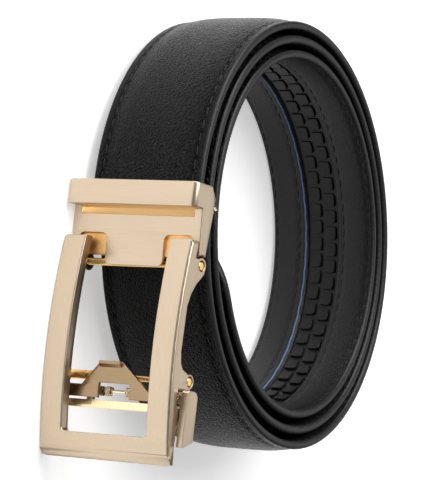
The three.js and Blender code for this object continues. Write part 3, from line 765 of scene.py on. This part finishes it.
        j = np.arange(around)
        k = (j + 1) % around
        low = (len(bend) - 1) * around
        start, end = np.full(around, len(ring)), np.full(around, len(ring) + 1)
        first = np.stack([k, j, start, start], -1)
        last = np.stack([low + j, low + k, end, end], -1)
        faces = np.vstack([ring_faces(len(bend), around), first, last])
        every = faces[None] + (np.arange(len(points)) * len(unit))[:, None, None]
        thread = mesh_of(name, points.reshape(-1, 3), every.reshape(-1, 4))
        thread.data.materials.append(self.finishes.thread)
        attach(thread, "clamp")
        return thread

    def build_seams(self) -> list[bpy.types.Object]:
        """Stitches of the outer face and of the lining."""
        outer = self.stitches(
            "outer_stitches",
            (-self.outer_seam, self.outer_seam),
            lambda across, length: self.outer_level(across, self.crown_at(length)),
        )
        inner = self.stitches(
            "lining_stitches",
            self.inner_seams,
            lambda across, length: self.inner_level(across, np.zeros(len(across))),
        )
        return [outer, inner]

    def build_blue_line(self) -> bpy.types.Object:
        """The coloured thread beside the teeth: a thin tube half sunk in the lining."""
        stations = self.coil.free(np.linspace(0.02, self.coil.turns - 0.06, 500))
        count = len(stations.middle)
        level = np.full((count, 1), -self.half_edge - self.channel_lip)
        wave = self.blue_line + self.thread_wave * np.sin(np.arange(count) * self.wave_step)[:, None]
        path = stations.place(level, wave)[:, 0]
        points, faces = swept_tube(path, self.thread_radius * MM, 6)
        line = mesh_of("lining_line", points, faces)
        line.data.materials.append(self.finishes.blue_thread)
        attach(line, "clamp")
        return line

    def build(self) -> list[bpy.types.Object]:
        """Builds the strap with its seams."""
        return [self.build_body(), *self.build_seams(), self.build_blue_line()]


@dataclass
class RatchetTrack:
    """Moulded strip in the lining's channel with two columns of ramped teeth, one set back from the other."""

    coil: Coil
    finishes: Finishes
    turns: tuple[float, float] = (2.03, 2.68)
    half_width: float = 5.05
    floor: float = -0.27
    face: float = -0.42
    pitch: float = 5.15
    tooth_half: float = 2.1
    tooth_width: float = 4.0
    middle_gap: float = 0.8
    rise: float = 0.85
    step_back: float = 0.35
    corner_power: float = 0.35
    insets: tuple[float, float, float] = (0.0, 0.08, 0.3)
    ring_rise: tuple[float, float, float] = (0.0, 0.85, 1.0)
    low_end: float = 0.45
    sink: float = 0.05
    corners: int = 16

    def strip(self) -> tuple[Array, Array]:
        """A flat section carried along the channel."""
        stations = self.coil.free(np.linspace(*self.turns, 120))
        across = np.array([-1, 1, 1, -1]) * self.half_width
        level = np.array([self.floor, self.floor, self.face, self.face])
        count = len(stations.middle)
        return capped_rings(stations.place(np.tile(level, (count, 1)), np.tile(across, (count, 1))))

    def teeth(self) -> tuple[Array, Array]:
        """Rounded blocks whose top rises along the strap: three rings and two fans make one block."""
        start, end = self.coil.lengths(np.array(self.turns))
        count = int((end - start) / self.pitch)
        middle_across = (self.middle_gap + self.tooth_width) / 2
        lengths = start + self.pitch * (np.arange(count) + 0.5)
        length = np.concatenate([lengths, lengths + self.pitch * self.step_back])
        across = np.repeat([-middle_across, middle_across], count)
        good = length < end - self.tooth_half
        length, across = length[good], across[good]
        turn = np.linspace(0, FULL_TURN, self.corners, endpoint=False)
        circle = np.stack([np.cos(turn), np.sin(turn)], -1)
        square = np.sign(circle) * np.abs(circle) ** self.corner_power
        reach = np.array([self.tooth_half, self.tooth_width / 2])
        rings = np.stack([square * (reach - inset) for inset in self.insets])
        ramp = self.low_end + (1 - self.low_end) * (rings[..., 0] / self.tooth_half + 1) / 2
        sunk = self.sink * np.array([1.0, 0.0, 0.0])[:, None]
        out = self.face - self.rise * ramp * np.array(self.ring_rise)[:, None] + sunk
        along = length[:, None] + rings[..., 0].reshape(1, -1)
        place = across[:, None] + rings[..., 1].reshape(1, -1)
        stations = self.coil.free(self.coil.turn_at(along.ravel()))
        level = np.tile(out.reshape(1, -1), (len(length), 1)).reshape(-1, 1)
        points = stations.place(level, place.reshape(-1, 1))[:, 0].reshape(len(length), 3, self.corners, 3)
        made = [capped_rings(block) for block in points]
        size = len(made[0][0])
        faces = np.vstack([block[1] + i * size for i, block in enumerate(made)])
        return np.vstack([block[0] for block in made]), faces

    def build(self) -> list[bpy.types.Object]:
        """Builds the strip and its teeth as one moulded piece."""
        strip, strip_faces = self.strip()
        teeth, teeth_faces = self.teeth()
        if enclosed_volume(strip, strip_faces) < 0:
            strip_faces = strip_faces[:, ::-1]
        if enclosed_volume(teeth, teeth_faces) < 0:
            teeth_faces = teeth_faces[:, ::-1]
        every = np.vstack([strip_faces, teeth_faces + len(strip)])
        track = mesh_of("ratchet_teeth", np.vstack([strip, teeth]), every)
        track.data.polygons.foreach_set("use_smooth", np.zeros(len(track.data.polygons), bool))
        track.data.materials.append(self.finishes.track)
        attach(track, "clamp")
        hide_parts("ratchet_track")
        return [track]


# Metal


@dataclass
class CastPiece:
    """A metal piece of the frame, copied with its edges broken and its curves smooth."""

    node: str
    body: str
    slot: str
    bevel: float
    finish: bpy.types.Material
    others: Sequence[bpy.types.Material] = ()
    finish_of: Callable[[Array, Array], Array] | None = None
    edge_share: Callable[[Array], Array] | None = None
    crease: float = 26.0
    flat: float = 0.25

    def mark_edges(self, work: bmesh.types.BMesh) -> None:
        """Gives each edge that is sharper than the crease its share of the bevel."""
        weight = work.edges.layers.float.new("bevel_weight_edge")
        middles = np.array([(edge.verts[0].co + edge.verts[1].co) / 2 for edge in work.edges]) / MM
        shares = np.ones(len(middles)) if self.edge_share is None else self.edge_share(middles)
        for edge, share in zip(work.edges, shares):
            is_sharp = len(edge.link_faces) == 2 and edge.calc_face_angle(0) > math.radians(self.crease)
            edge[weight] = float(is_sharp) * float(share)

    def build(self, nodes: dict[str, bpy.types.Object]) -> bpy.types.Object:
        """Merges the loose triangles, joins flat ones, and adds a small bevel along each sharp edge.

        Args:
            nodes: The frame's objects by name.

        Returns:
            The piece that stands for the node.
        """
        mesh = nodes[self.node].data.copy()
        mesh.name = f"{self.node}_cast"
        work = bmesh.new()
        work.from_mesh(mesh)
        bmesh.ops.remove_doubles(work, verts=work.verts, dist=MERGE_REACH)
        flat = math.radians(self.flat)
        bmesh.ops.dissolve_limit(work, angle_limit=flat, verts=work.verts, edges=work.edges)
        self.mark_edges(work)
        work.to_mesh(mesh)
        work.free()
        mesh.materials.clear()
        mesh.materials.append(self.finish)
        mesh.polygons.foreach_set("use_smooth", np.ones(len(mesh.polygons), bool))
        count = len(mesh.polygons)
        centre = np.empty(count * 3)
        normal = np.empty(count * 3)
        mesh.polygons.foreach_get("center", centre)
        mesh.polygons.foreach_get("normal", normal)
        slots = np.zeros(count)
        for material in self.others:
            mesh.materials.append(material)
        # The finish mask may pick the lighter golds that paint light into shaded places.
        if self.finish_of is not None:
            slots = self.finish_of(centre.reshape(-1, 3) / MM, normal.reshape(-1, 3))
        mesh.polygons.foreach_set("material_index", slots.astype(np.int32))
        piece = link_mesh(mesh.name, mesh)
        bevel = piece.modifiers.new("BrokenEdges", "BEVEL")
        bevel.width = self.bevel * MM
        bevel.segments = 3
        bevel.limit_method = "WEIGHT"
        bevel.use_clamp_overlap = False
        bevel.harden_normals = True
        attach(piece, self.body)
        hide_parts(self.node)
        return piece


def is_between(places: Array, low: Sequence[float], high: Sequence[float]) -> Array:
    """Whether each place, in millimetres, is inside the box from low to high."""
    return np.all((places > low) & (places < high), axis=1)


def clamp_finish_and_painted_light(centre: Array, normal: Array) -> Array:
    """Material of each face: 1 in the recess beside the tab, its orange gold lightened as painted light
    against the shade there; 2 on the ramp and floor of the keeper slot, a light rough gold that paints the
    slot's bright reflection.
    """
    in_recess = is_between(centre[:, :2], (-31, 4.75), (-22.5, 6.3))
    is_ramp = is_between(centre[:, :2], (-45, 3.9), (-35.4, 5.6)) & (normal[:, 1] < -0.5)
    return np.where(in_recess, 1, np.where(is_ramp, 2, 0))


def frame_finish_and_painted_light(centre: Array, normal: Array) -> Array:
    """Material of each face: 1 on the bridge behind the pawl, but for its rear, where a much lighter gold
    paints light over the shade the bridge reflects.
    """
    in_bridge = is_between(centre, (14.6, 2.5, 4), (17, math.inf, 37.6))
    return (in_bridge & (normal[:, 1] < 0.5)).astype(int)


def clamp_edge_share(middle: Array) -> Array:
    """Full rounding on the outer skin, about a third on the edges inside it."""
    front, low_side, high_side = 0.2, 1.7, 39.9
    y, z = middle[:, 1], middle[:, 2]
    is_skin = (y < front) | (z < low_side) | (z > high_side)
    return np.where(is_skin, 1.0, INNER_SHARE)


def frame_edge_share(middle: Array) -> Array:
    """Full rounding along the bowed front, about a third elsewhere, none at the end's corners."""
    lowest, bow, skin_depth = -2.05, 300, 1.2
    point_start, low_side, high_side = 28.2, 1.7, 39.9
    x, y, z = middle.T
    front = lowest + x**2 / bow
    share = np.where(y - front < skin_depth, 1.0, INNER_SHARE)
    is_point = (x > point_start) & ((z < low_side) | (z > high_side))
    return np.where(is_point, 0.0, share)


@dataclass
class Buckle:
    """Clamp, flap, frame, pins, pawl, lever and springs."""

    nodes: dict[str, bpy.types.Object]
    finishes: Finishes
    hinge: tuple[float, float] = (-23.0, 6.55)
    stop: tuple[float, float] = (8.0, 7.05)
    rod: tuple[float, float] = (12.1, 6.95)
    pin_radius: float = 1.2
    pin_ends: tuple[float, float] = (0.05, 41.55)
    pin_corners: int = 40
    head_length: float = 2.5
    shoulder: float = 0.1
    spring_radius: float = 1.15
    spring_wire: float = 0.22
    spring_coils: float = 3.5

    def build_castings(self) -> list[bpy.types.Object]:
        """The castings and plates, each with its own finish."""
        f = self.finishes
        pieces = [
            # The clamp's recess and slot take the lighter golds that paint light and reflection there.
            CastPiece(
                "clamp_body", "clamp", "brushed_gold", 0.4, f.brushed_across,
                (f.recess_gold_painted_light, f.slot_gold_painted_reflection), clamp_finish_and_painted_light, clamp_edge_share,
            ),
            CastPiece("clamp_flap", "flap", "brushed_gold", 0.08, f.brushed_across),
            # The frame's bridge takes the lighter gold that paints light over its shade.
            CastPiece(
                "buckle_frame", "frame", "brushed_gold", 0.4, f.brushed_along,
                (f.bridge_painted_light,), frame_finish_and_painted_light, frame_edge_share,
            ),
            CastPiece("pawl_plate", "pawl", "polished_gold", 0.14, f.pawl_gold),
            CastPiece("release_lever", "pawl", "brushed_gold", 0.2, f.brushed_along),
            CastPiece("stop_sleeve", "frame", "polished_gold", 0.05, f.polished),
            CastPiece("stop_ring", "frame", "polished_gold", 0.05, f.polished),
            CastPiece("spring_rod", "frame", "steel", 0.05, f.spring_steel),
            CastPiece("flap_pin", "clamp", "steel", 0.05, f.spring_steel),
        ]
        return [piece.build(self.nodes) for piece in pieces]

    def pin_profile(self, shaft: float) -> list[tuple[float, float]]:
        """Half outline of a pin with a rounded, slightly dished head at each end, as (radius, height)."""
        low, high = self.pin_ends
        r = self.pin_radius
        head = [(0.02, 0.12), (0.45 * r, 0.1), (0.7 * r, 0.0), (0.86 * r, 0.04), (0.97 * r, 0.16), (r, 0.36)]
        near = [(radius, low + z) for radius, z in head]
        far = [(radius, high - z) for radius, z in reversed(head)]
        inner_low, inner_high = low + self.head_length, high - self.head_length
        step = self.shoulder
        middle = [(r, inner_low), (shaft, inner_low + step), (shaft, inner_high - step), (r, inner_high)]
        return [*near, *middle, *far]

    def build_pins(self) -> list[bpy.types.Object]:
        """The hinge pin and the stop pin, turned."""
        made = []
        for node, body, slot, place, shaft in (
            ("frame_hinge_pin", "clamp", "brushed_gold", self.hinge, 1.0),
            ("stop_pin", "frame", "polished_gold", self.stop, 0.8),
        ):
            profile = [(r * MM, z * MM) for r, z in self.pin_profile(shaft)]
            points, faces = lathe_upright(place[0] * MM, place[1] * MM, profile, self.pin_corners)
            pin = mesh_of(f"{node}_turned", points, faces)
            pin.data.materials.append(self.finishes.polished)
            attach(pin, body)
            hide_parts(node)
            made.append(pin)
        return made

    def build_springs(self) -> list[bpy.types.Object]:
        """Two wires wound round the spring rod: a helix that rises evenly."""
        made = []
        for node in ("spring_left", "spring_right"):
            low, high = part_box(node)
            start, end = low.z + self.spring_wire * MM, high.z - self.spring_wire * MM
            share = np.linspace(0, 1, 120)
            turn = FULL_TURN * self.spring_coils * share
            path = np.stack([
                (self.rod[0] + self.spring_radius * np.cos(turn)) * MM,
                (self.rod[1] + self.spring_radius * np.sin(turn)) * MM,
                start + (end - start) * share,
            ], -1)
            points, faces = swept_tube(path, self.spring_wire * MM, 10)
            spring = mesh_of(f"{node}_wire", points, faces)
            spring.data.materials.append(self.finishes.spring_steel)
            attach(spring, "pawl")
            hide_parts(node)
            made.append(spring)
        return made

    def build(self) -> list[bpy.types.Object]:
        """Builds every metal piece."""
        return [*self.build_castings(), *self.build_pins(), *self.build_springs()]


# Studio


@dataclass(frozen=True)
class Softbox:
    """A square light: where it stands, its side and its power."""

    name: str
    place: tuple[float, float, float]
    side: float
    power: float

    def build(self, target: tuple[float, float, float]) -> None:
        """Adds the light, turned to the target."""
        light = bpy.data.lights.new(self.name, "AREA")
        light.shape = "SQUARE"
        light.size = self.side
        light.energy = self.power
        obj = bpy.data.objects.new(self.name, light)
        obj.visible_camera = False
        bpy.context.scene.collection.objects.link(obj)
        back = np.array(self.place) - np.array(target)
        back /= np.linalg.norm(back)
        right = np.cross([0.0, 0.0, 1.0], back)
        right /= np.linalg.norm(right)
        up = np.cross(back, right)
        turn = Matrix([[*row] for row in np.stack([right, up, back], 1)]).to_4x4()
        obj.matrix_world = Matrix.Translation(self.place) @ turn


@dataclass(frozen=True)
class Studio:
    """Camera, floor and lights."""

    focal_px: float = 2616.08
    long_side_px: float = 480.0
    sensor: float = 36.0
    distance: float = 750.0
    azimuth: float = 0.139
    elevation: float = 0.553
    roll: float = 1.610
    target: tuple[float, float, float] = (-36.512, 51.872, 15.446)
    clip: tuple[float, float] = (0.01, 20.0)
    floor_radius: float = 4.0
    floor_corners: int = 64
    floor_glow: float = 0.45
    surround: float = 0.2

    def build_camera(self) -> None:
        """Places the camera on its bearing from the target and rolls it about its own axis."""
        az, el, roll = self.azimuth, self.elevation, self.roll
        back = np.array([math.sin(az) * math.cos(el), -math.cos(az) * math.cos(el), math.sin(el)])
        level = np.array([math.cos(az), math.sin(az), 0.0])
        rise = np.cross(back, level)
        right = math.cos(roll) * level + math.sin(roll) * rise
        up = -math.sin(roll) * level + math.cos(roll) * rise
        data = bpy.data.cameras.new("StudioCamera")
        data.sensor_width = self.sensor
        data.lens = self.focal_px * self.sensor / self.long_side_px
        data.clip_start, data.clip_end = self.clip
        camera = bpy.data.objects.new("StudioCamera", data)
        bpy.context.scene.collection.objects.link(camera)
        place = (np.array(self.target) + back * self.distance) * MM
        turn = Matrix([[*row] for row in np.stack([right, up, back], 1)]).to_4x4()
        camera.matrix_world = Matrix.Translation(place) @ turn
        bpy.context.scene.camera = camera

    def build_floor(self) -> None:
        """A wide pale disc at height zero, which glows a little so that shadows stay soft."""
        turn = np.linspace(0, FULL_TURN, self.floor_corners, endpoint=False)
        rim = np.stack([np.cos(turn), np.sin(turn), np.zeros(len(turn))], -1) * self.floor_radius
        mesh = bpy.data.meshes.new("studio_floor")
        mesh.from_pydata(rim.tolist(), [], [list(range(len(turn)))])
        floor = link_mesh("studio_floor", mesh)
        shader = Shader("PaleFloor")
        noise = shader.add("ShaderNodeTexNoise")
        noise.inputs["Scale"].default_value = 3
        coordinates = shader.add("ShaderNodeTexCoord")
        shader.join(coordinates.outputs["Object"], noise.inputs["Vector"])
        colour = shader.ramp(noise.outputs[0], (0.82, 0.82, 0.82), (0.85, 0.85, 0.85))
        shader.join(colour, shader.surface.inputs["Base Color"])
        shader.surface.inputs["Roughness"].default_value = 0.9
        shader.surface.inputs["Emission Color"].default_value = (1.0, 1.0, 1.0, 1)
        shader.surface.inputs["Emission Strength"].default_value = self.floor_glow
        shader.surface.inputs["Specular IOR Level"].default_value = 0.1
        mesh.materials.append(shader.material)

    def build_lights(self) -> None:
        """A pale surround and three soft boxes."""
        world = bpy.data.worlds.new("PaleSurround")
        bpy.context.scene.world = world
        world.use_nodes = True
        surround = world.node_tree.nodes["Background"]
        surround.inputs["Color"].default_value = (1.0, 1.0, 1.0, 1)
        surround.inputs["Strength"].default_value = self.surround
        middle = (-0.03, 0.04, 0.02)
        Softbox("KeyBox", (-1.1, -0.2, 0.5), 0.6, 8).build(middle)
        Softbox("TopBox", (-0.55, -0.05, 0.95), 0.8, 10).build(middle)
        Softbox("BackBox", (-0.1, 0.95, 0.65), 0.8, 1.6).build(middle)

    def build(self) -> None:
        """Builds the studio; colours are shown as they are."""
        bpy.context.scene.view_settings.view_transform = "Standard"
        self.build_camera()
        self.build_floor()
        self.build_lights()


def main() -> None:
    """Builds the belt around its frame."""
    logging.basicConfig(level=logging.INFO, format="%(name)s %(message)s")
    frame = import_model()
    Studio().build()
    finishes = Finishes()
    coil = Coil()
    pieces = Strap(coil, finishes).build()
    pieces += RatchetTrack(coil, finishes).build()
    pieces += Buckle(frame["nodes"], finishes).build()
    for piece in pieces:
        LOG.info("%s: %d faces", piece.name, len(piece.data.polygons))
    bpy.context.view_layer.update()


if __name__ == "__main__":
    main()
